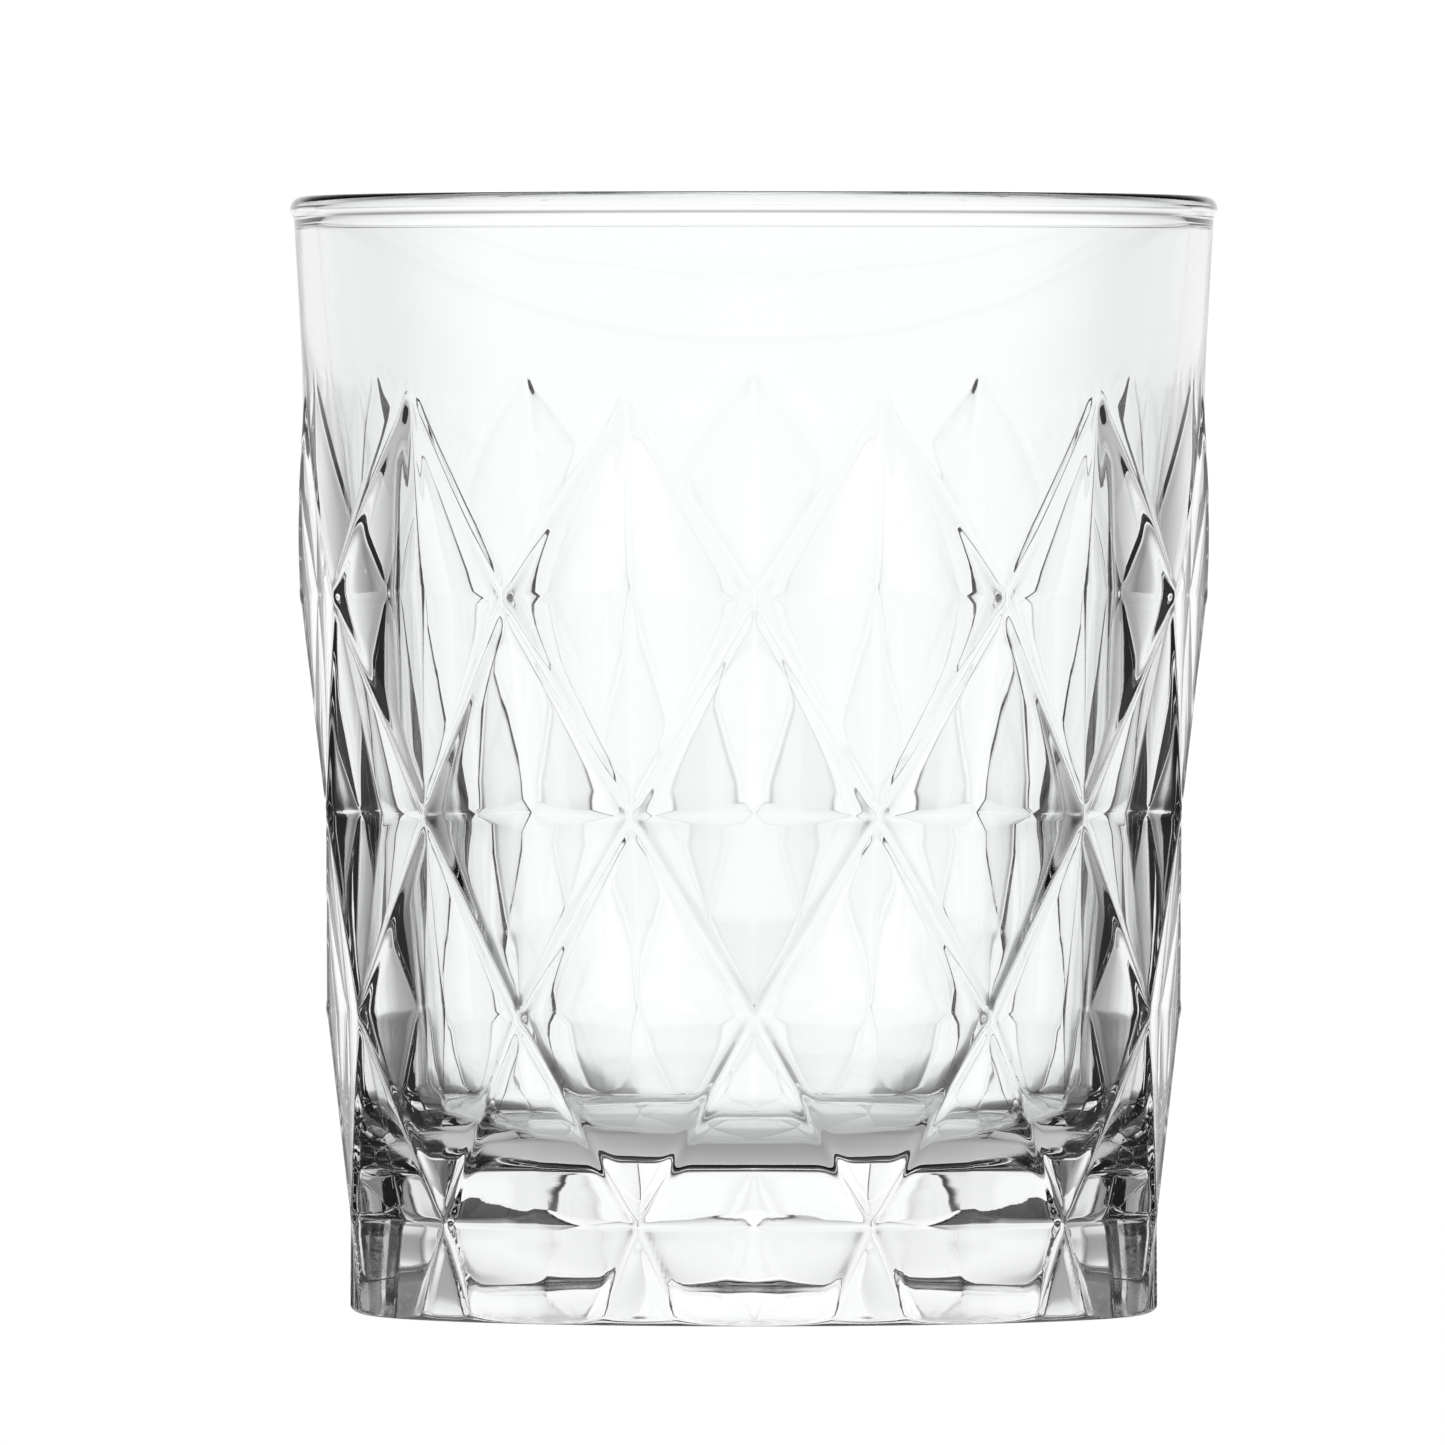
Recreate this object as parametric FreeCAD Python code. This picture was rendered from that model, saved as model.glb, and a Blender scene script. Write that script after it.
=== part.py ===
# Whiskey tumbler: one piece of clear pressed glass, 100 mm tall.
# A round lip and a smooth band stand on rows of recessed diamonds, which turn half a step from row to
# row and end at a waist above a faceted foot. The bowl is a plain tapered round with a thick floor.
# Origin: centre of the ring that the glass stands on. +Z: up the axis. One upper-row peak faces -Y.
import FreeCAD
import Part
import math
import os

# Overall sizes, in millimetres
HEIGHT = 100.0                # table to the top of the lip
MOUTH_RADIUS = 41.2           # outside of the wall just under the lip
COLUMNS = 11                  # diamonds round the glass

# Lip: a fire-polished round bead that stands slightly proud of the wall
LIP_RADIUS = 1.15             # half the thickness of the bead
LIP_OVERHANG = 0.35           # how far the bead stands out beyond the wall

# Smooth band between the lip and the pattern
BAND_HEIGHT = 17.8            # top of the lip down to the points of the pattern
NECK_INSET = 0.9              # how far the band narrows towards the pattern
NECK_BEND_REACH = 5.0         # length over which the band turns out again, each side of the neck

# Pattern: the peaks of each row stand in from the mouth by these amounts
UPPER_INSET = 0.2
MIDDLE_INSET = 2.7
LOWER_INSET = 2.6
WAIST_INSET = 4.9
UPPER_SHARE = 0.755           # heights of the rows, as shares of the patterned height
MIDDLE_SHARE = 0.492
LOWER_SHARE = 0.25
DIAMOND_HOLLOW = 0.4          # centre of a diamond, in from the line between its two side corners
BAND_CLEARANCE = 0.2          # the band's skirt passes the upper peaks at this distance

# Foot: a band of upright facets with a rounded lower edge
FOOT_HEIGHT = 8.8             # table to the waist
FOOT_INSET = 5.2              # corners of the foot, in from the mouth
FOOT_TRIANGLE_WIDTH = 7.6     # base of the narrow facet under each waist peak
FOOT_EDGE_RADIUS = 1.5        # rounding between the foot and the table
FOOT_EDGE_MARGIN = 0.4        # the rounding starts this far outside the foot's corners
BEARING_WIDTH = 7.0           # width of the flat ring that touches the table
UNDERSIDE_DEPTH = 0.4         # height of the shallow dome inside that ring

# Bowl
THIN_WALL = 1.9               # glass left behind the deepest point of the middle row
FLOOR_THICKNESS = 14.2        # table to the bottom of the bowl
FLOOR_CORNER_RADIUS = 7.5    # rounding between the bowl's floor and its wall

# Room left round the outline so that only the facets, and not the blank, shape the lower part
BLANK_MARGIN = 0.8
EXTENSION = 5.0               # the faceted block runs past the glass by this much, top and bottom

# Worked-out places
STEP = math.pi / COLUMNS      # half the angle between two neighbouring peaks of a row
PATTERN_TOP = HEIGHT - BAND_HEIGHT
PATTERN_HEIGHT = PATTERN_TOP - FOOT_HEIGHT
UPPER_Z = FOOT_HEIGHT + UPPER_SHARE * PATTERN_HEIGHT
MIDDLE_Z = FOOT_HEIGHT + MIDDLE_SHARE * PATTERN_HEIGHT
LOWER_Z = FOOT_HEIGHT + LOWER_SHARE * PATTERN_HEIGHT
UPPER_RADIUS = MOUTH_RADIUS - UPPER_INSET
MIDDLE_RADIUS = MOUTH_RADIUS - MIDDLE_INSET
LOWER_RADIUS = MOUTH_RADIUS - LOWER_INSET
WAIST_RADIUS = MOUTH_RADIUS - WAIST_INSET
NECK_RADIUS = MOUTH_RADIUS - NECK_INSET
FOOT_RADIUS = MOUTH_RADIUS - FOOT_INSET
EVEN, ODD = 0, 1              # which spokes carry a row's peaks; spoke 0 points to -Y


# ---- helpers for the outline, in the half-plane of radius and height ----------------------------
def at(radius, height):
    return FreeCAD.Vector(radius, 0, height)


def line(start, end):
    return Part.LineSegment(start, end).toShape()


def arc(start, via, end):
    return Part.Arc(start, via, end).toShape()


def rounded(before, corner, after, radius):
    """Tangent points and middle point of an arc that rounds off the corner."""
    to_before = (before - corner).normalize()
    to_after = (after - corner).normalize()
    half_angle = to_before.getAngle(to_after) / 2
    reach = radius / math.tan(half_angle)
    bisector = (to_before + to_after).normalize()
    centre = corner + bisector * (radius / math.sin(half_angle))
    return corner + to_before * reach, centre - bisector * radius, corner + to_after * reach


def bowl_radius(height):
    """Radius of the straight tapered wall inside the bowl."""
    top_radius = MOUTH_RADIUS + LIP_OVERHANG - 2 * LIP_RADIUS
    deepest = MIDDLE_RADIUS * math.cos(STEP) - DIAMOND_HOLLOW
    low_radius = deepest - THIN_WALL
    top_z = HEIGHT - LIP_RADIUS
    return low_radius + (top_radius - low_radius) * (height - MIDDLE_Z) / (top_z - MIDDLE_Z)


# ---- the round blank: lip, band, bowl, foot edge and underside ---------------------------------
def underside_edges():
    """Shallow dome from the axis to the bearing ring, then the flat ring."""
    ring_outer = FOOT_RADIUS + FOOT_EDGE_MARGIN - FOOT_EDGE_RADIUS
    ring_inner = ring_outer - BEARING_WIDTH
    dome_radius = (ring_inner ** 2 + UNDERSIDE_DEPTH ** 2) / (2 * UNDERSIDE_DEPTH)
    half_turn = math.asin(ring_inner / dome_radius) / 2
    centre_z = UNDERSIDE_DEPTH - dome_radius
    via = at(dome_radius * math.sin(half_turn), centre_z + dome_radius * math.cos(half_turn))
    dome = arc(at(0, UNDERSIDE_DEPTH), via, at(ring_inner, 0))
    return [dome, line(at(ring_inner, 0), at(ring_outer, 0))]


def foot_edge_edges(blank_radius):
    """Rounded lower edge, then out to the plain blank that the facets are cut from."""
    edge_radius = FOOT_RADIUS + FOOT_EDGE_MARGIN
    corner = at(edge_radius, 0)
    start, via, end = rounded(at(0, 0), corner, at(edge_radius, FOOT_HEIGHT), FOOT_EDGE_RADIUS)
    shoulder = at(blank_radius, LOWER_Z)
    return [arc(start, via, end), line(end, shoulder)], shoulder


def band_edges(shoulder, crease):
    """Blank up to the upper row, the skirt and neck of the smooth band, and up to the lip."""
    blank_top = at(shoulder.x, UPPER_Z - BAND_CLEARANCE)
    skirt = at(UPPER_RADIUS + BAND_CLEARANCE, UPPER_Z)
    neck = at(NECK_RADIUS, PATTERN_TOP)
    turn = (skirt - neck).getAngle(crease - neck) / 2
    bend_radius = NECK_BEND_REACH * math.tan(turn)
    start, via, end = rounded(skirt, neck, crease, bend_radius)
    return [line(shoulder, blank_top), line(blank_top, skirt), line(skirt, start),
            arc(start, via, end), line(end, crease)]


def lip_points():
    """Centre of the bead and the crease where it meets the outside of the wall."""
    centre = at(MOUTH_RADIUS + LIP_OVERHANG - LIP_RADIUS, HEIGHT - LIP_RADIUS)
    inward = LIP_RADIUS - LIP_OVERHANG
    crease = at(MOUTH_RADIUS, centre.z - math.sqrt(LIP_RADIUS ** 2 - inward ** 2))
    return centre, crease


def lip_edges(centre, crease):
    top = centre + at(0, LIP_RADIUS)
    outside = centre + at(LIP_RADIUS, 0)
    inside = centre - at(LIP_RADIUS, 0)
    diagonal = LIP_RADIUS * math.sqrt(0.5)
    return [arc(crease, outside, top), arc(top, centre + at(-diagonal, diagonal), inside)], inside


def bowl_edges(lip_inside):
    """Straight tapered wall, rounded corner and flat floor."""
    corner = at(bowl_radius(FLOOR_THICKNESS), FLOOR_THICKNESS)
    middle = at(0, FLOOR_THICKNESS)
    start, via, end = rounded(lip_inside, corner, middle, FLOOR_CORNER_RADIUS)
    return [line(lip_inside, start), arc(start, via, end), line(end, middle),
            line(middle, at(0, UNDERSIDE_DEPTH))]


def round_blank():
    blank_radius = MOUTH_RADIUS + BLANK_MARGIN
    lip_centre, crease = lip_points()
    edges = underside_edges()
    foot_edges, shoulder = foot_edge_edges(blank_radius)
    lip, lip_inside = lip_edges(lip_centre, crease)
    edges += foot_edges + band_edges(shoulder, crease) + lip + bowl_edges(lip_inside)
    return Part.Face(Part.Wire(edges)).revolve(FreeCAD.Vector(), FreeCAD.Vector(0, 0, 1), 360)


# ---- the faceted block: peaks and diamond centres joined by flat triangles ----------------------
def spoke(number):
    angle = number * STEP - math.pi / 2
    return FreeCAD.Vector(math.cos(angle), math.sin(angle), 0)


def up(height):
    return FreeCAD.Vector(0, 0, height)


def peak_ring(radius, height, peaks_on):
    """Peaks on every other spoke, diamond centres between them."""
    between = radius * math.cos(STEP) - DIAMOND_HOLLOW
    radii = [radius if number % 2 == peaks_on else between for number in range(2 * COLUMNS)]
    return [spoke(number) * radii[number] + up(height) for number in range(2 * COLUMNS)]


def on_plane(points, direction, height):
    """Point of the plane through three points that lies on a direction from the axis."""
    normal = (points[1] - points[0]).cross(points[2] - points[0])
    radius = (normal.dot(points[0]) - normal.z * height) / normal.dot(direction)
    return direction * radius + up(height)


def top_ring(upper):
    """The upper row's facets carried on above the lip."""
    height = HEIGHT + EXTENSION
    ring = []
    for number in range(2 * COLUMNS):
        odd = number if number % 2 == ODD else (number + 1) % (2 * COLUMNS)
        point = spoke(odd) * NECK_RADIUS + up(PATTERN_TOP)
        plane = [upper[odd], upper[odd - 1], point]
        ring.append(on_plane(plane, spoke(number), height))
    return ring


def foot_ring(waist):
    """Lower ends of the foot's facets: three corners for each column."""
    height = -EXTENSION
    ring = {}
    for number in range(2 * COLUMNS):
        if number % 2 == EVEN:
            ring[number] = [spoke(number) * FOOT_RADIUS + up(height)]
        else:
            turn = FOOT_TRIANGLE_WIDTH / 2 / FOOT_RADIUS / STEP
            ring[number] = [spoke(number - turn) * FOOT_RADIUS + up(height),
                            spoke(number + turn) * FOOT_RADIUS + up(height)]
    return ring


def facet(*points):
    return Part.Face(Part.makePolygon(list(points) + [points[0]]))


def diamond_band(low, high, low_peaks_on):
    """Triangles between two rows, folded along the ridges that join their peaks."""
    faces = []
    for number in range(2 * COLUMNS):
        after = (number + 1) % (2 * COLUMNS)
        if number % 2 == low_peaks_on:
            faces.append(facet(low[number], low[after], high[after]))
            faces.append(facet(low[number], high[after], high[number]))
        else:
            faces.append(facet(low[number], low[after], high[number]))
            faces.append(facet(low[after], high[after], high[number]))
    return faces


def foot_band(base, waist):
    faces = []
    for number in range(ODD, 2 * COLUMNS, 2):
        after = (number + 1) % (2 * COLUMNS)
        faces.append(facet(base[number][0], base[number][1], waist[number]))
        faces.append(facet(base[number][1], base[after][0], waist[number]))
        faces.append(facet(base[after][0], waist[after], waist[number]))
        faces.append(facet(base[number - 1][0], base[number][0], waist[number]))
        faces.append(facet(base[number - 1][0], waist[number], waist[number - 1]))
    return faces


def faceted_block():
    upper = peak_ring(UPPER_RADIUS, UPPER_Z, EVEN)
    middle = peak_ring(MIDDLE_RADIUS, MIDDLE_Z, ODD)
    lower = peak_ring(LOWER_RADIUS, LOWER_Z, EVEN)
    waist = peak_ring(WAIST_RADIUS, FOOT_HEIGHT, ODD)
    top = top_ring(upper)
    base = foot_ring(waist)
    faces = diamond_band(middle, upper, ODD)
    faces += diamond_band(lower, middle, EVEN)
    faces += diamond_band(waist, lower, ODD)
    faces += foot_band(base, waist)
    for number in range(2 * COLUMNS):
        after = (number + 1) % (2 * COLUMNS)
        faces.append(facet(upper[number], upper[after], top[after], top[number]))
    faces.append(facet(*top))
    faces.append(facet(*[point for number in range(2 * COLUMNS) for point in base[number]]))
    block = Part.Solid(Part.Shell(faces))
    if block.Volume < 0:
        block.reverse()
    return block


def tumbler():
    glass = round_blank().common(faceted_block())
    return glass.Solids[0] if len(glass.Solids) == 1 else glass


os.makedirs("parts", exist_ok=True)
shape = tumbler()
shape.exportStep("parts/tumbler_glass.step")
box = shape.optimalBoundingBox(False, False)
print("valid", shape.isValid(), "solids", len(shape.Solids), "faces", len(shape.Faces))
print("size", round(box.XLength, 3), round(box.YLength, 3), round(box.ZMin, 3), round(box.ZMax, 3))
print("glass volume, ml", round(shape.Volume / 1000, 1))
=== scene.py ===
import math
import bmesh
import bpy
import numpy as np
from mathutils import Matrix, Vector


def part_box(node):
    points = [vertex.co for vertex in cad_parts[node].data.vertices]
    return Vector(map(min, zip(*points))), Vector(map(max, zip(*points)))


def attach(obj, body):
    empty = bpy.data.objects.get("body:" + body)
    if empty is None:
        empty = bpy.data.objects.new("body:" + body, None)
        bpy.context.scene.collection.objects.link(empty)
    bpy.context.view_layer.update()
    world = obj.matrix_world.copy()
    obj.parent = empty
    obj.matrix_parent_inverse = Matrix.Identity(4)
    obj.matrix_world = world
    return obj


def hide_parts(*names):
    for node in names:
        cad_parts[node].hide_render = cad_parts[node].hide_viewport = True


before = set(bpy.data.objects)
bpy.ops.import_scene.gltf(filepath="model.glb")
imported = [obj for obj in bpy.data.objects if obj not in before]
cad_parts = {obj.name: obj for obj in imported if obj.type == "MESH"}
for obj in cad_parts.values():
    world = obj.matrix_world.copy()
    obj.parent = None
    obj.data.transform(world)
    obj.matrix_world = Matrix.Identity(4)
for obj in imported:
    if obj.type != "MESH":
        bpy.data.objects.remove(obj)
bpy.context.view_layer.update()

# ---- Camera ------------------------------------------------------------------------------------
# A long lens from far away, a little below lip height, so that the rows look almost level.
camera_distance = 2.2
camera_height = 0.074
frame_width = 0.12937             # what the picture spans at the glass's axis
aim = (-0.0028, 0.0, 0.0529)
camera_data = bpy.data.cameras.new("studio_camera")
camera_data.sensor_width = 36.0
camera_data.lens = camera_data.sensor_width * camera_distance / frame_width
camera_data.clip_start = 0.5
camera_data.clip_end = 20.0
camera = bpy.data.objects.new("studio_camera", camera_data)
bpy.context.scene.collection.objects.link(camera)
camera.location = (aim[0], -camera_distance, camera_height)
camera.rotation_euler = (math.pi / 2 - math.atan((camera_height - aim[2]) / camera_distance), 0, 0)
bpy.context.scene.camera = camera

# ---- Tumbler -----------------------------------------------------------------------------------
# One piece of clear soda-lime glass. The mould cuts the diamonds and the foot into its outside, a
# smooth tapered plunger presses the bowl, and the lip is fire-polished into a round bead.
MM = 0.001
glass_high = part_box("tumbler_glass")[1]
columns = 11
half = math.pi / columns          # from a spoke with a peak to the spoke half a step on
lip_radius = 1.15
lip_overhang = 0.35
height = glass_high.z / MM
mouth = glass_high.x / MM - lip_overhang
neck_z = height - 17.8            # where the smooth band ends and the pattern's points begin
neck_radius = mouth - 0.9
neck_bend = 2.0                   # how softly the band turns at the neck
cone_height = 15.7                # over which the band widens to the mouth
foot_z = 8.8
pattern = neck_z - foot_z
upper_z = foot_z + 0.755 * pattern     # the rows' heights, as shares of the patterned height
middle_z = foot_z + 0.492 * pattern
lower_z = foot_z + 0.25 * pattern
upper_radius = mouth - 0.2             # the peaks of each row, from the axis
middle_radius = mouth - 2.7
lower_radius = mouth - 2.6
waist_radius = mouth - 4.9
hollow = 0.4                      # centre of a diamond, in from the line between its side peaks
edge_radius = 1.5                 # rounding of the foot's lower edge
wear = 0.5                        # reach of the rounding on the mould's edges
proud = 2.0                       # how strongly edges stand out and valleys sink, beyond the cut


def on_spoke(radius, z, odd):
    """A point on the strip's even spoke, or on its odd one, half a step on."""
    angle = half * odd
    return np.array([radius * math.cos(angle), radius * math.sin(angle), z])


def peak_and_centre(radius, z, odd):
    """A row's peak, and the centre of the diamond beside it on the other kind of spoke."""
    between = radius * math.cos(half) - hollow
    return on_spoke(radius, z, odd), on_spoke(between, z, 1 - odd)


upper, upper_centre = peak_and_centre(upper_radius, upper_z, 0)
middle, middle_centre = peak_and_centre(middle_radius, middle_z, 1)
lower, lower_centre = peak_and_centre(lower_radius, lower_z, 0)
waist, waist_centre = peak_and_centre(waist_radius, foot_z, 1)
point = on_spoke(neck_radius, neck_z, 1)
point_between = on_spoke(neck_radius, neck_z, 0)
foot_even = on_spoke(mouth - 6.0, 0.0, 0)   # where two wide foot facets meet at the table
# Distance from the axis to the middle of the line between two upper peaks, at its hollow
between_radius = upper_radius * math.cos(half) - hollow
foot_flat = mouth - 5.35          # distance from the axis to the flat of the narrow foot triangle
foot_corner = mouth - 5.2
edge_margin = 0.4                 # the rounding starts this far outside the foot's corners
edge_centre = foot_corner + edge_margin - edge_radius


def plane_radius(corners, angle, z):
    """Distance from the axis to the plane through three corners, in a direction and at a height."""
    normal = np.cross(corners[1] - corners[0], corners[2] - corners[0])
    reach = np.dot(normal, corners[0]) - normal[2] * z
    return reach / (normal[0] * np.cos(angle) + normal[1] * np.sin(angle))


def softly(x, width):
    """Zero below 0 and x above it, with the bend spread over the width."""
    return width * np.logaddexp(0, x / width)


def band_radius(angle, z):
    """Smooth band: a slight cone above the neck, and below it the top facets cut into a skirt."""
    rise = softly(z - neck_z, neck_bend) / cone_height
    drop = np.clip(softly(neck_z - z, neck_bend) / (neck_z - upper_z), 0, 1)
    round_radius = neck_radius + (mouth - neck_radius) * rise + (upper[0] - neck_radius) * drop
    # The share stops short of 1, where the ridge and the crease meet in one point
    share = np.clip((z - upper_z) / (neck_z - upper_z), 0, 0.999)
    ridge = half * share
    crease_radius = between_radius + share * (neck_radius - between_radius)
    x0, y0 = round_radius * np.cos(ridge), round_radius * np.sin(ridge)
    dx = crease_radius * math.cos(half) - x0
    dy = crease_radius * math.sin(half) - y0
    across = (x0 * dy - y0 * dx) / (np.cos(angle) * dy - np.sin(angle) * dx)
    return np.where((angle < ridge) | (z >= neck_z), round_radius, across)


def foot_radius(angle, z):
    """Foot: wide facets, and a narrow upright triangle under each waist peak."""
    wide = plane_radius((waist_centre, waist, foot_even), angle, z)
    flat = foot_flat + (waist_radius - foot_flat) * z / foot_z
    return np.minimum(wide, flat / np.cos(angle - half))


def cut_radius(angle, z):
    """The outside as cut in the mould, with sharp ridges and valleys."""
    angle = np.abs((angle + half) % (2 * half) - half)
    top = band_radius(angle, z)
    rows = [(foot_z, foot_radius(angle, z))]
    for low, low_centre, high, high_centre in ((waist, waist_centre, lower, lower_centre),
                                               (lower, lower_centre, middle, middle_centre),
                                               (middle, middle_centre, upper, upper_centre)):
        under = plane_radius((low, high, low_centre), angle, z)
        over = plane_radius((low, high, high_centre), angle, z)
        rows.append((high[2], np.minimum(under, over)))
    radius = top
    for limit, values in reversed(rows):
        radius = np.where(z < limit, values, radius)
    return radius


def averaged(angle, z, reach):
    """The cut shape averaged over a small round patch of the surface, about reach in radius."""
    total, count = cut_radius(angle, z), 1
    for ring in (1, 2, 3, 4):
        for k in range(6 * ring):
            turn = 2 * math.pi * (k + ring / 2) / (6 * ring)
            away = reach * ring / 4.5
            around, along = away * math.cos(turn), away * math.sin(turn)
            total = total + cut_radius(angle + around / mouth, z + along)
            count += 1
    return total / count


def pressed_radius(angle, z):
    """The outside as pressed: edges rounded and standing proud, valleys rounded and sunk."""
    z = np.broadcast_to(z, np.shape(angle))
    fine = averaged(angle, z, wear)
    return fine + proud * (fine - averaged(angle, z, 3 * wear))


def edge_limit(z):
    """Radius of the rounded lower edge of the foot."""
    rise = np.clip(edge_radius - z, 0, edge_radius)
    return edge_centre + np.sqrt(edge_radius ** 2 - rise ** 2)


def soft_minimum(a, b, width):
    """The smaller of two radii, with the change from one to the other rounded."""
    return b - softly(b - a, width)


class Strip:
    """Half of one column, from a peak's spoke to the next: points, faces, and bowl or outside."""
    def __init__(self):
        self.points, self.faces, self.inside = [], [], []

    def add(self, angle, radius, z, inside=0.0):
        """Adds a point and gives its number."""
        self.points.append((radius * math.cos(angle), radius * math.sin(angle), z))
        self.inside.append(inside)
        return len(self.points) - 1


strip = Strip()
steps = 20                        # lattice rows between a ridge and the middle of a diamond


def crowd(share):
    """Crowds the lattice towards a ridge."""
    return 0.38 * share + 0.62 * share ** 2


def spread(share):
    """Crowds the lattice towards both ends of a ridge."""
    return share - 0.55 * math.sin(2 * math.pi * share) / (2 * math.pi)


def lattice(start, end, corner):
    """Triangular lattice between a ridge and a corner; rows run alongside the ridge."""
    places = []
    for i in range(steps + 1):
        depth = crowd(i / steps)
        for j in range(steps - i + 1):
            along = spread(j / (steps - i)) if i < steps else 0.5
            places.append((1 - depth) * (start + along * (end - start)) + depth * corner)
    places = np.array(places)
    angles = np.arctan2(places[:, 1], places[:, 0])
    radii = pressed_radius(angles, places[:, 2])
    row = [strip.add(a, r, z) for a, r, z in zip(angles, radii, places[:, 2])][0]
    for i in range(steps):
        above = row + steps - i + 1
        for j in range(steps - i):
            strip.faces.append((row + j, row + j + 1, above + j))
            if j < steps - i - 1:
                strip.faces.append((row + j + 1, above + j + 1, above + j))
        row = above


for start, end, left, right in ((upper, point, upper_centre, point_between),
                                (middle, upper, upper_centre, middle_centre),
                                (middle, lower, middle_centre, lower_centre),
                                (waist, lower, lower_centre, waist_centre)):
    lattice(start, end, left)
    lattice(start, end, right)


def edge_angles(start, end):
    """Directions of the lattice's points along a level edge from a peak to a centre."""
    depths = [crowd(i / steps) for i in range(steps + 1)]
    places = [(1 - d) * start + d * end for d in depths]
    return np.array([math.atan2(p[1], p[0]) for p in places])


def rings(angles, profile, inside=0.0):
    """Quads through rings of points; profile gives the radii and heights of each ring."""
    count = len(angles)
    rows = []
    for radii, z in profile:
        radii = np.broadcast_to(radii, (count,))
        rows.append([strip.add(a, r, z, inside) for a, r in zip(angles, radii)])
    for low, high in zip(rows, rows[1:]):
        for k in range(count - 1):
            strip.faces.append((low[k], low[k + 1], high[k + 1], high[k]))
    return rows


def pole(row, z, inside=0.0):
    """Closes the innermost ring with triangles to a point on the axis."""
    centre = strip.add(0.0, 0.0, z, inside)
    for k in range(len(row) - 1):
        strip.faces.append((row[k], row[k + 1], centre))


# Band, lip, bowl wall, rounded corner and floor. The bowl's wall is straight, and as thick as
# thin_wall behind the deepest centres of the middle row.
band_rings, lip_rings, wall_rings, corner_rings, floor_rings = 13, 22, 25, 20, 10
top_angles = edge_angles(point, point_between)
lip_centre = mouth + lip_overhang - lip_radius
lip_z = height - lip_radius
crease = math.asin((lip_radius - lip_overhang) / lip_radius) - math.pi / 2
crease_z = lip_z + lip_radius * math.sin(crease)
profile = [(pressed_radius(top_angles, z), z)
           for z in neck_z + (crease_z - neck_z) * np.linspace(0, 1, band_rings)]
profile += [(lip_centre + lip_radius * math.cos(turn), lip_z + lip_radius * math.sin(turn))
            for turn in np.linspace(crease, math.pi, lip_rings)[1:]]
thin_wall = 1.9
bowl_top = lip_centre - lip_radius
bowl_middle = middle_radius * math.cos(half) - hollow - thin_wall
slope = (bowl_top - bowl_middle) / (lip_z - middle_z)
floor_z = 14.2
corner_radius = 7.5
tilt = math.atan(slope)
wall_at_corner = bowl_middle + slope * (floor_z + corner_radius - middle_z)
corner_r = wall_at_corner - corner_radius / math.cos(tilt)
corner_z = floor_z + corner_radius
wall_foot = corner_z - corner_radius * math.sin(tilt)
wall = [(bowl_middle + slope * (z - middle_z), z)
        for z in np.linspace(lip_z, wall_foot, wall_rings)]
corner_arc = [(corner_r + corner_radius * math.cos(turn), corner_z + corner_radius * math.sin(turn))
              for turn in np.linspace(-tilt, -math.pi / 2, corner_rings)]
innermost = 2.0                   # radius of the last ring before the point on the axis
floor = [(r, floor_z) for r in np.linspace(corner_r, innermost, floor_rings)]
rings(top_angles, profile)
bowl = rings(top_angles, wall + corner_arc[1:] + floor[1:], 1.0)
pole(bowl[-1], floor_z, 1.0)

# Foot, rounded edge, standing ring and shallow dome under the base
foot_rings, base_rings, under_rings = 14, 4, 12
edge_blend = 0.05                 # how softly the facets run into the rounded edge
low_angles = edge_angles(waist, waist_centre)
rounding = edge_radius * (1 - np.cos(np.linspace(math.pi / 2, 0, foot_rings)))
foot = []
for z in list(np.linspace(foot_z, edge_radius, foot_rings)) + list(rounding[1:]):
    faceted = pressed_radius(low_angles, np.full_like(low_angles, z))
    if z != foot_z:
        faceted = soft_minimum(faceted, edge_limit(z), edge_blend)
    foot.append((faceted, z))
ring_width = 7.0                  # of the flat ring that touches the table
ring_inner = edge_centre - ring_width
dome = 0.4                        # height of the dome inside that ring
dome_radius = (ring_inner ** 2 + dome ** 2) / (2 * dome)
base = [(r, 0.0) for r in np.linspace(edge_centre, ring_inner, base_rings)]
under = [(r, dome - dome_radius + math.sqrt(dome_radius ** 2 - r ** 2))
         for r in np.linspace(ring_inner, innermost, under_rings)]
lower_rows = rings(low_angles, foot + base[1:] + under[1:])
pole(lower_rows[-1], dome)

# Mirror the strip into one whole column, in metres, with its even spoke towards -Y
one_side = np.array(strip.points) * MM
both = np.vstack([one_side, one_side * np.array([1, -1, 1])])
column_mesh = bpy.data.meshes.new("glass_column")
shifted = [tuple(k + len(one_side) for k in reversed(face)) for face in strip.faces]
facing = np.stack([both[:, 1], -both[:, 0], both[:, 2]], axis=1)
column_mesh.from_pydata(facing.tolist(), [], strip.faces + shifted)
inside = column_mesh.attributes.new("bowl_side", "FLOAT", "POINT")
inside.data.foreach_set("value", strip.inside + strip.inside)
tumbler = bpy.data.objects.new("tumbler", column_mesh)
bpy.context.scene.collection.objects.link(tumbler)


def node(tree, kind, settings=None, links=None, values=None):
    """Adds a node, sets its properties and unlinked sockets, and links sockets from other nodes."""
    made = tree.nodes.new(kind)
    for name, value in (settings or {}).items():
        setattr(made, name, value)
    for name, value in (values or {}).items():
        made.inputs[name].default_value = value
    for name, source in (links or {}).items():
        tree.links.new(source, made.inputs[name])
    return made


def linear(code):
    """sRGB hex colour to the linear RGBA that shaders take."""
    channels = [int(code[k:k + 2], 16) / 255 for k in (1, 3, 5)]
    toned = [c / 12.92 if c <= 0.04045 else ((c + 0.055) / 1.055) ** 2.4 for c in channels]
    return (*toned, 1.0)


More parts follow.
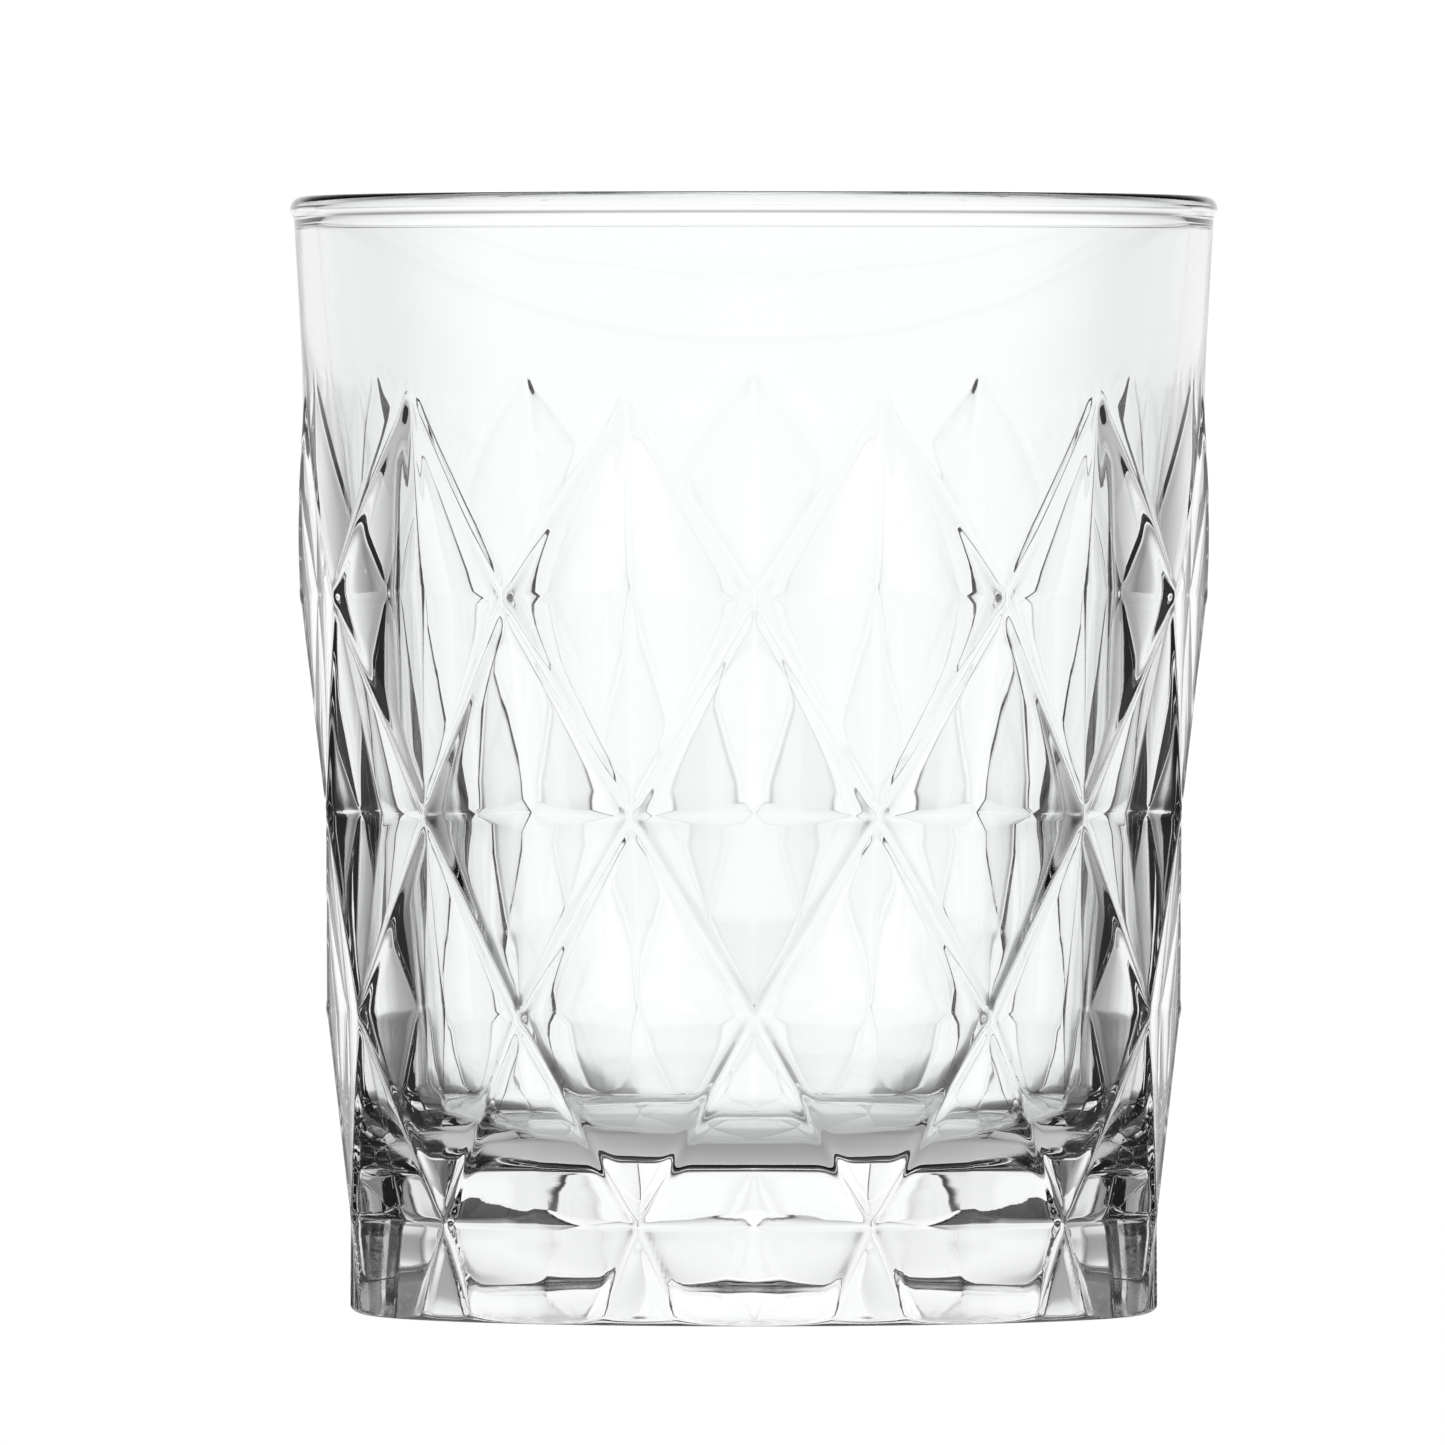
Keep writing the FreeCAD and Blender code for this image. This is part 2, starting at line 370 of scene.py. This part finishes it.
# Clear soda-lime glass, fire-polished: no colour of its own, sharp reflections, and a faint
# unevenness, about 11 mm from swell to swell, that bends what is seen through it. The ring that it
# stands on is scuffed from being slid over tables. The scuffs are drawn about 1.4 mm across, much
# coarser than real ones, and only on the lowest 0.2 mm.
glass = bpy.data.materials.new("fire_polished_soda_lime_glass")
glass.use_nodes = True
shade = glass.node_tree
shade.nodes.clear()
place = node(shade, "ShaderNodeTexCoord")
drift = node(shade, "ShaderNodeTexNoise", values={"Scale": 90.0, "Detail": 2.0, "Roughness": 0.4},
             links={"Vector": place.outputs["Object"]})
swell = node(shade, "ShaderNodeBump", values={"Strength": 0.06, "Distance": 0.0004},
             links={"Height": drift.outputs["Fac"]})
up = node(shade, "ShaderNodeSeparateXYZ", links={"Vector": place.outputs["Object"]})
on_ring = node(shade, "ShaderNodeMapRange", links={"Value": up.outputs["Z"]},
               values={"From Min": 0.00002, "From Max": 0.0002, "To Min": 0.3, "To Max": 0.0})
scuffs = node(shade, "ShaderNodeTexNoise", values={"Scale": 700.0, "Detail": 3.0},
              links={"Vector": place.outputs["Object"]})
scuffed = node(shade, "ShaderNodeMath", {"operation": "MULTIPLY"},
               links={0: on_ring.outputs["Result"], 1: scuffs.outputs["Fac"]})
body = node(shade, "ShaderNodeBsdfPrincipled",
            links={"Normal": swell.outputs["Normal"], "Roughness": scuffed.outputs[0]},
            values={"Base Color": linear("#FDFEFE"), "IOR": 1.52, "Transmission Weight": 1.0})
node(shade, "ShaderNodeOutputMaterial", links={"Surface": body.outputs["BSDF"]})

# The column is repeated round the axis, joined, given the plunger's slight waves and its material
weld = 0.00001                    # points closer than this, in metres, become one
tree = bpy.data.node_groups.new("columns_round_axis", "GeometryNodeTree")
sockets = {}
for label, kind, way in (("Geometry", "NodeSocketGeometry", "INPUT"),
                         ("Columns", "NodeSocketInt", "INPUT"),
                         ("Wave Height", "NodeSocketFloat", "INPUT"),
                         ("Wave Scale", "NodeSocketFloat", "INPUT"),
                         ("Glass", "NodeSocketMaterial", "INPUT"),
                         ("Geometry", "NodeSocketGeometry", "OUTPUT")):
    made = tree.interface.new_socket(label, in_out=way, socket_type=kind)
    if way == "INPUT":
        sockets[label] = made.identifier
given = node(tree, "NodeGroupInput")
count = given.outputs["Columns"]
spots_round = node(tree, "GeometryNodeMeshLine", links={"Count": count},
                   values={"Offset": (0, 0, 0)})
number = node(tree, "GeometryNodeInputIndex")
part = node(tree, "ShaderNodeMath", {"operation": "DIVIDE"},
            links={0: number.outputs[0], 1: count})
turn = node(tree, "ShaderNodeMath", {"operation": "MULTIPLY"},
            links={0: part.outputs[0]}, values={1: 2 * math.pi})
about = node(tree, "ShaderNodeCombineXYZ", links={"Z": turn.outputs[0]})
copies = node(tree, "GeometryNodeInstanceOnPoints",
              links={"Points": spots_round.outputs[0], "Instance": given.outputs["Geometry"],
                     "Rotation": about.outputs[0]})
joined = node(tree, "GeometryNodeRealizeInstances", links={"Geometry": copies.outputs[0]})
merged = node(tree, "GeometryNodeMergeByDistance", links={"Geometry": joined.outputs[0]},
              values={"Distance": weld})
where = node(tree, "GeometryNodeInputPosition")
waves = node(tree, "ShaderNodeTexNoise", values={"Detail": 1.0},
             links={"Vector": where.outputs[0], "Scale": given.outputs["Wave Scale"]})
centred = node(tree, "ShaderNodeMath", {"operation": "SUBTRACT"},
               links={0: waves.outputs[0]}, values={1: 0.5})
side = node(tree, "GeometryNodeInputNamedAttribute", {"data_type": "FLOAT"},
            values={"Name": "bowl_side"})
masked = node(tree, "ShaderNodeMath", {"operation": "MULTIPLY"},
              links={0: centred.outputs[0], 1: side.outputs["Attribute"]})
tall = node(tree, "ShaderNodeMath", {"operation": "MULTIPLY"},
            links={0: masked.outputs[0], 1: given.outputs["Wave Height"]})
outward = node(tree, "GeometryNodeInputNormal")
push = node(tree, "ShaderNodeVectorMath", {"operation": "SCALE"},
            links={"Vector": outward.outputs[0], "Scale": tall.outputs[0]})
waved = node(tree, "GeometryNodeSetPosition", links={"Geometry": merged.outputs[0],
                                                     "Offset": push.outputs[0]})
smooth = node(tree, "GeometryNodeSetShadeSmooth", links={"Geometry": waved.outputs[0]})
coated = node(tree, "GeometryNodeSetMaterial", links={"Geometry": smooth.outputs[0],
                                                      "Material": given.outputs["Glass"]})
node(tree, "NodeGroupOutput", links={"Geometry": coated.outputs[0]})
repeat = tumbler.modifiers.new("columns", "NODES")
repeat.node_group = tree
repeat[sockets["Columns"]] = columns
repeat[sockets["Wave Height"]] = 0.00005     # 0.05 mm from trough to crest
repeat[sockets["Wave Scale"]] = 70.0         # about 14 mm from wave to wave
repeat[sockets["Glass"]] = glass

evaluated = tumbler.evaluated_get(bpy.context.evaluated_depsgraph_get())
finished = bpy.data.meshes.new_from_object(evaluated)
tumbler.modifiers.clear()
tumbler.data = finished
work = bmesh.new()
work.from_mesh(finished)
bmesh.ops.remove_doubles(work, verts=work.verts, dist=weld)
bmesh.ops.recalc_face_normals(work, faces=work.faces)
work.to_mesh(finished)
work.free()
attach(tumbler, "root")
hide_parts("tumbler_glass")

# ---- Table -------------------------------------------------------------------------------------
# A white acrylic light table, lit from below, that the glass stands on. It is evenly white to look
# at. In what the glass gathers from it, a bright wedge opens backwards, both sides fall off in
# painted shade where black cards would stand, the far part behind the camera is bright again, and
# under the foot it is darker towards the camera, a painted shadow of the glass.
table_mesh = bpy.data.meshes.new("light_table")
half_width = 6.0
table_mesh.from_pydata([(-half_width, -half_width, 0), (half_width, -half_width, 0),
                        (half_width, half_width, 0), (-half_width, half_width, 0)],
                       [], [(0, 1, 2, 3)])
table = bpy.data.objects.new("light_table", table_mesh)
table.location.z = -0.00005
bpy.context.scene.collection.objects.link(table)
acrylic = bpy.data.materials.new("white_acrylic")
acrylic.use_nodes = True
lit = acrylic.node_tree
lit.nodes.clear()


def bearing_from_back(tree, vector):
    """Angle of a direction from straight behind the glass, the same to both sides, in radians."""
    axes = node(tree, "ShaderNodeSeparateXYZ", links={"Vector": vector})
    aside = node(tree, "ShaderNodeMath", {"operation": "ABSOLUTE"}, links={0: axes.outputs["X"]})
    angle = node(tree, "ShaderNodeMath", {"operation": "ARCTAN2"},
                 links={0: aside.outputs[0], 1: axes.outputs["Y"]})
    return axes, angle.outputs[0]


def levels(tree, source, low, high, stops):
    """Piecewise straight curve: stops are (place, level) pairs and places run from low to high."""
    place = node(tree, "ShaderNodeMapRange", links={"Value": source},
                 values={"From Min": low, "From Max": high})
    ramp = node(tree, "ShaderNodeValToRGB", links={"Fac": place.outputs["Result"]})
    elements = ramp.color_ramp.elements
    while len(elements) < len(stops):
        elements.new(0.5)
    for element, (where, level) in zip(elements, stops):
        element.position = (where - low) / (high - low)
        element.color = (level, level, level, 1.0)
    return ramp.outputs["Color"]


spot = node(lit, "ShaderNodeTexCoord").outputs["Object"]
plan, table_bearing = bearing_from_back(lit, spot)
from_axis = node(lit, "ShaderNodeVectorMath", {"operation": "LENGTH"},
                 links={0: spot}).outputs["Value"]
# Half the wedge's opening, in quarter turns, against the distance from the axis in metres
wedge = levels(lit, from_axis, 0.0, 0.4,
               ((0.0, 0.156), (0.06, 0.156), (0.11, 0.25), (0.18, 0.36), (0.3, 0.55), (0.4, 0.55)))
wedge_edge = node(lit, "ShaderNodeMath", {"operation": "MULTIPLY"},
                  links={0: wedge}, values={1: math.pi / 2})
share = node(lit, "ShaderNodeMath", {"operation": "DIVIDE"},
             links={0: table_bearing, 1: wedge_edge.outputs[0]})
# Both sides fall off: painted shade where black cards would stand beside the glass
side_level = levels(lit, share.outputs[0], 0.0, 5.0,
                    ((0.0, 1.0), (0.3, 0.96), (0.8, 0.84), (1.2, 0.42), (2.0, 0.18), (3.2, 0.07),
                     (5.0, 0.05)))
rise = node(lit, "ShaderNodeMapRange", links={"Value": from_axis},
            values={"From Min": 0.15, "From Max": 0.3, "To Min": 1.0, "To Max": 1.06})
open_level = node(lit, "ShaderNodeMath", {"operation": "MULTIPLY"},
                  links={0: side_level, 1: rise.outputs["Result"]})
beyond_foot = node(lit, "ShaderNodeMapRange", links={"Value": from_axis},
                   values={"From Min": 0.033, "From Max": 0.040})
# Under the foot the table is darker towards the camera: a painted shadow of the glass
painted_shadow_under_foot = node(lit, "ShaderNodeMapRange", links={"Value": plan.outputs["Y"]},
                  values={"From Min": -0.03, "From Max": 0.02, "To Min": 0.35, "To Max": 0.95})
mixed = node(lit, "ShaderNodeMix", {"data_type": "FLOAT"},
             links={"Factor": beyond_foot.outputs["Result"], "A": painted_shadow_under_foot.outputs["Result"],
                    "B": open_level.outputs[0]})
behind_camera = levels(lit, table_bearing, 0.0, math.pi, ((1.1, 0.0), (2.0, 0.85)))
far_from_foot = levels(lit, from_axis, 0.0, 0.4, ((0.045, 0.0), (0.1, 1.0)))
front_level = node(lit, "ShaderNodeMath", {"operation": "MULTIPLY"},
                   links={0: behind_camera, 1: far_from_foot})
gathered = node(lit, "ShaderNodeMath", {"operation": "MAXIMUM"},
                links={0: mixed.outputs["Result"], 1: front_level.outputs[0]})
seen = node(lit, "ShaderNodeLightPath").outputs["Is Camera Ray"]
strength = node(lit, "ShaderNodeMath", {"operation": "MAXIMUM"},
                links={0: gathered.outputs[0], 1: seen})
sheet = node(lit, "ShaderNodeEmission", links={"Strength": strength.outputs[0]})
node(lit, "ShaderNodeOutputMaterial", links={"Surface": sheet.outputs["Emission"]})
table_mesh.materials.append(acrylic)

# ---- Light -------------------------------------------------------------------------------------
# A bright screen behind the glass, widest at table height and narrower above. The room is dark to
# the sides and overhead, and bright low down behind the camera. The backdrop is white to look at
# from every side.
world = bpy.data.worlds.new("studio")
bpy.context.scene.world = world
world.use_nodes = True
sky = world.node_tree
sky.nodes.clear()
direction = node(sky, "ShaderNodeTexCoord").outputs["Generated"]
axes, sky_bearing = bearing_from_back(sky, direction)
climb = node(sky, "ShaderNodeMath", {"operation": "ARCSINE"}, links={0: axes.outputs["Z"]})
elevation = node(sky, "ShaderNodeMath", {"operation": "MULTIPLY"},
                 links={0: climb.outputs[0]}, values={1: 180 / math.pi}).outputs[0]
# Half the screen's opening, in quarter turns, against the elevation in degrees
screen_width = levels(sky, elevation, -90.0, 90.0,
                      ((-5, 0.5), (3, 0.48), (7, 0.36), (11, 0.26), (15, 0.2), (25, 0.156)))
screen_edge = node(sky, "ShaderNodeMath", {"operation": "MULTIPLY"},
                   links={0: screen_width}, values={1: math.pi / 2})
share = node(sky, "ShaderNodeMath", {"operation": "DIVIDE"},
             links={0: sky_bearing, 1: screen_edge.outputs[0]})
side_level = levels(sky, share.outputs[0], 0.0, 5.0,
                    ((0.0, 1.0), (0.15, 0.97), (0.5, 0.93), (0.8, 0.84), (1.0, 0.5), (1.4, 0.15),
                     (2.0, 0.05), (5.0, 0.03)))
screen_level = levels(sky, elevation, -90.0, 90.0,
                      ((-6, 0.97), (0, 1.0), (5, 0.98), (10, 0.93), (13, 0.7), (17, 0.4),
                       (25, 0.27), (40, 0.05)))
shaped = node(sky, "ShaderNodeMath", {"operation": "MULTIPLY"},
              links={0: side_level, 1: screen_level})
screen = node(sky, "ShaderNodeMath", {"operation": "MULTIPLY"},
              links={0: shaped.outputs[0]}, values={1: 1.1})
room_height = levels(sky, elevation, -90.0, 90.0,
                     ((6, 1.0), (12, 0.7), (20, 0.15), (45, 0.08), (60, 0.3)))
room_side = levels(sky, sky_bearing, 0.0, math.pi, ((0.9, 0.18), (1.8, 0.9)))
room = node(sky, "ShaderNodeMath", {"operation": "MULTIPLY"},
            links={0: room_height, 1: room_side})
gathered = node(sky, "ShaderNodeMath", {"operation": "MAXIMUM"},
                links={0: screen.outputs[0], 1: room.outputs[0]})
seen = node(sky, "ShaderNodeLightPath").outputs["Is Camera Ray"]
strength = node(sky, "ShaderNodeMath", {"operation": "MAXIMUM"},
                links={0: gathered.outputs[0], 1: seen})
glow = node(sky, "ShaderNodeBackground", links={"Strength": strength.outputs[0]},
            values={"Color": linear("#FFFFFF")})
node(sky, "ShaderNodeOutputWorld", links={"Surface": glow.outputs["Background"]})

settings = bpy.context.scene
settings.view_settings.view_transform = "Standard"
settings.cycles.max_bounces = 24
settings.cycles.transmission_bounces = 24
